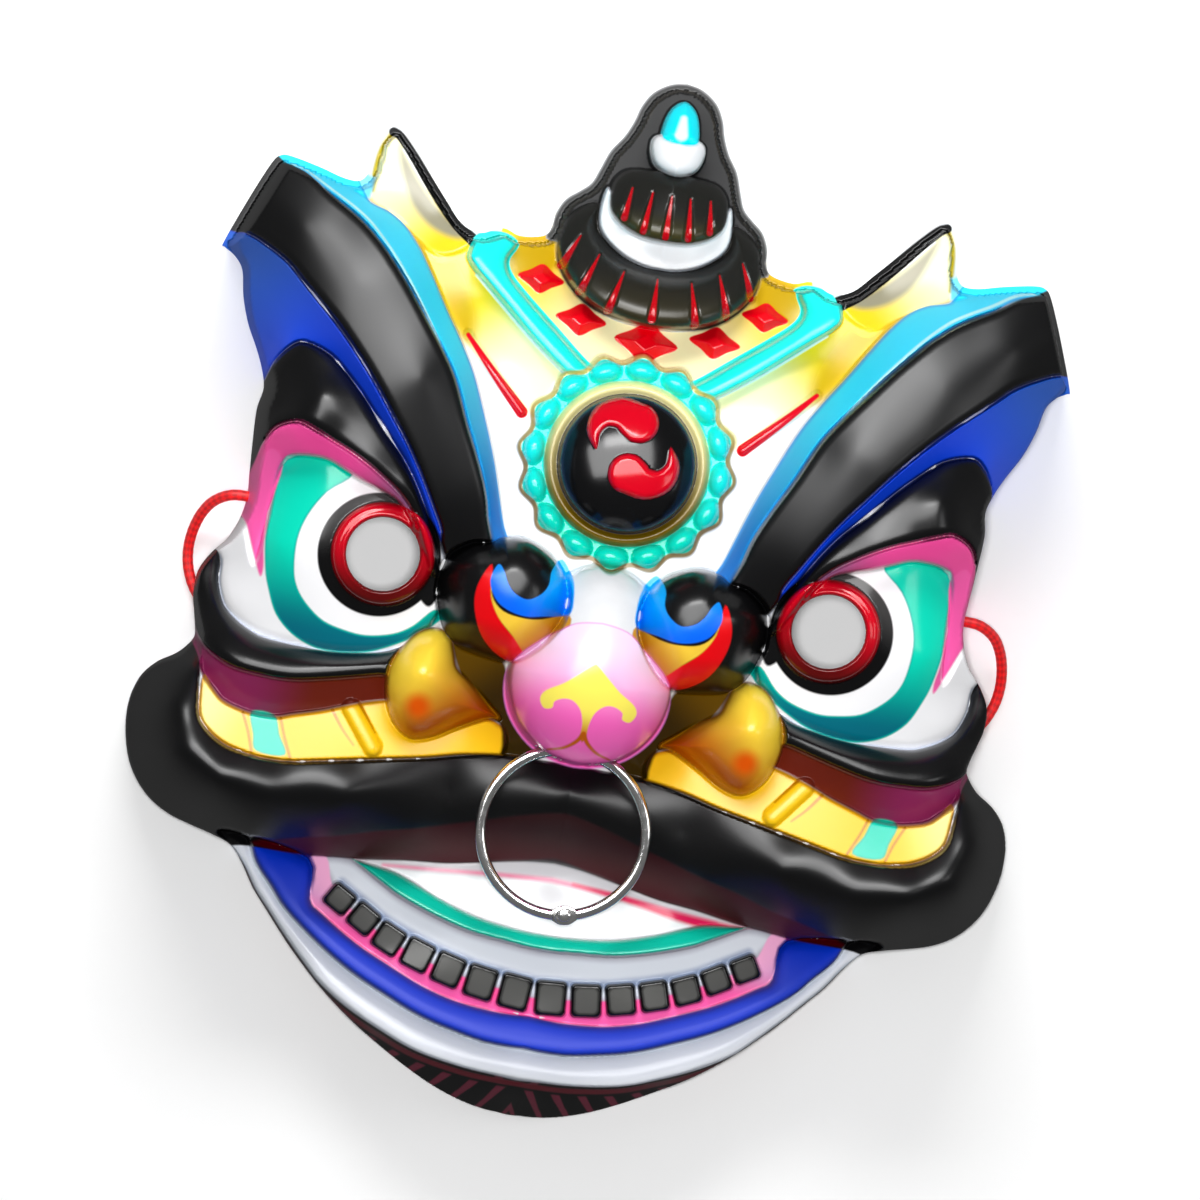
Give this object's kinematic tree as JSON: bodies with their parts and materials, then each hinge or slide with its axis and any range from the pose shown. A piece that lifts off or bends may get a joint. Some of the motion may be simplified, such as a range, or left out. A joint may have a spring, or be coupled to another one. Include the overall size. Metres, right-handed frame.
{
  "type": "lion mask",
  "caption": "Wearable lion face mask: one formed and painted plastic sheet with eye holes, a swinging hinged ring through the nose and a round elastic head cord.",
  "frame": {"origin": "on the floor plane under the middle of the mask's outline, with the mask lying face up on its rim", "axes": "+X to the right in a front view, +Y from the chin to the crest, +Z out of the face"},
  "size_m": [0.2436, 0.2866, 0.088],
  "materials": {
    "painted_plastic": "black, blue, cyan, pink, teal, red and gold spray paint under a satin gloss",
    "ring_steel": "polished plated wire",
    "red_elastic": "braided round elastic"
  },
  "bodies": {
    "mask": {"mask_shell": "painted_plastic", "head_elastic": "red_elastic", "elastic_knot_left": "red_elastic", "elastic_knot_right": "red_elastic"},
    "ring_left": {"nose_ring_left": "ring_steel"},
    "ring_right": {"nose_ring_right": "ring_steel"}
  },
  "joints": [
    {"name": "ring_swing", "type": "hinge", "parent": "mask", "child": "ring_left", "pos_m": [0, -0.04318, 0.0555], "axis": [-1, 0, 0], "range_deg": [0, 65]},
    {"name": "ring_open", "type": "hinge", "parent": "ring_left", "child": "ring_right", "pos_m": [0.0041, -0.08607, 0.0555], "axis": [0, 0, -1], "range_deg": [0, 35]}
  ]
}
